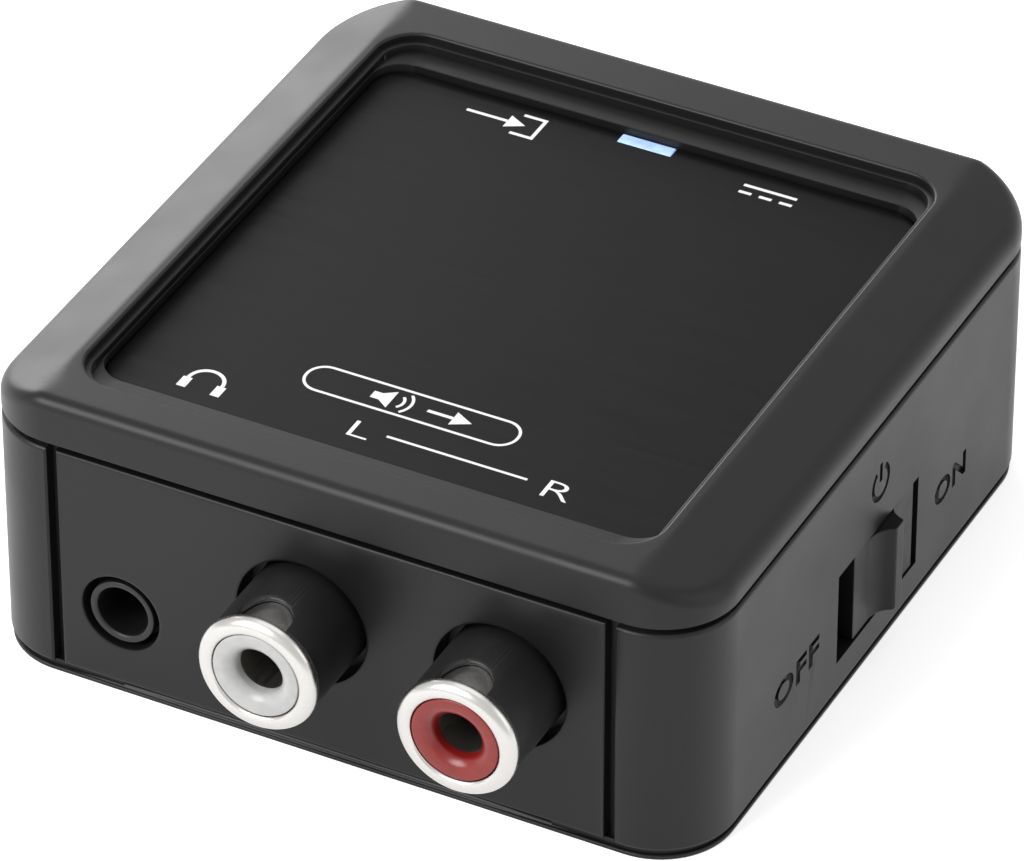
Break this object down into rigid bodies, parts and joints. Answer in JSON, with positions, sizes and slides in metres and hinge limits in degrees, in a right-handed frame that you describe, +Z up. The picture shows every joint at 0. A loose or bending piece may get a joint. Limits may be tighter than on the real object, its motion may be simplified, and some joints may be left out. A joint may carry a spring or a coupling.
{
  "type": "hdmi to av converter",
  "caption": "Small square black box that turns a digital video input into analogue audio, with phono and headphone jacks, a slide switch and an indicator window.",
  "frame": {"origin": "centre of the flat face that the case stands on", "axes": "+Z up; +Y from the audio jacks at the front to the inputs at the back; +X to the right seen from the front, towards the slide switch"},
  "size_m": [0.052, 0.0571, 0.0215],
  "materials": {
    "case": "fine moulded texture, black",
    "label": "brushed and dyed dark grey",
    "adhesive": "tacky, pale",
    "lamp": "clear, lit pale blue",
    "black_plastic": "smooth moulded",
    "nickel": "bright nickel plate",
    "gilt": "gold-washed phosphor bronze",
    "white_plastic": "smooth moulded",
    "red_plastic": "smooth moulded",
    "steel": "tin-plated sheet",
    "board": "green solder mask on glass epoxy",
    "phenolic": "punched phenolic sheet",
    "chip": "moulded epoxy",
    "can": "drawn can",
    "ferrite": "pressed ferrite",
    "ceramic_tan": "fired, matte",
    "screw": "black zinc"
  },
  "bodies": {
    "case": {"upper_cover": "case", "label_plate": "label", "label_adhesive": "adhesive", "lamp_window": "lamp", "lower_case": "case", "front_panel": "case", "rear_panel": "case", "circuit_board": "board", "phono_housing": "black_plastic", "phono_left_shell": "nickel", "phono_left_insulator": "white_plastic", "phono_left_contact": "gilt", "phono_right_shell": "nickel", "phono_right_insulator": "red_plastic", "phono_right_contact": "gilt", "phones_jack_body": "black_plastic", "phones_jack_springs": "gilt", "input_shell": "steel", "input_insulator": "black_plastic", "input_contacts": "gilt", "inlet_body": "black_plastic", "inlet_pin": "nickel", "inlet_spring": "gilt", "switch_frame": "steel", "switch_base": "phenolic", "switch_terminals": "nickel", "receiver_chip": "chip", "converter_chip": "chip", "amplifier_chip": "chip", "voltage_regulator": "chip", "crystal": "steel", "electrolytic_capacitors": "can", "inductor": "ferrite", "chip_capacitors": "ceramic_tan", "chip_resistors": "chip", "status_lamp": "white_plastic", "case_screws": "screw", "board_screws": "steel"},
    "power_slider": {"switch_cap": "case", "switch_slider": "black_plastic", "switch_bridge": "gilt"}
  },
  "joints": [
    {"name": "power_slide", "type": "slide", "parent": "case", "child": "power_slider", "axis": [0, -1, 0], "range_m": [0, 0.002]}
  ]
}
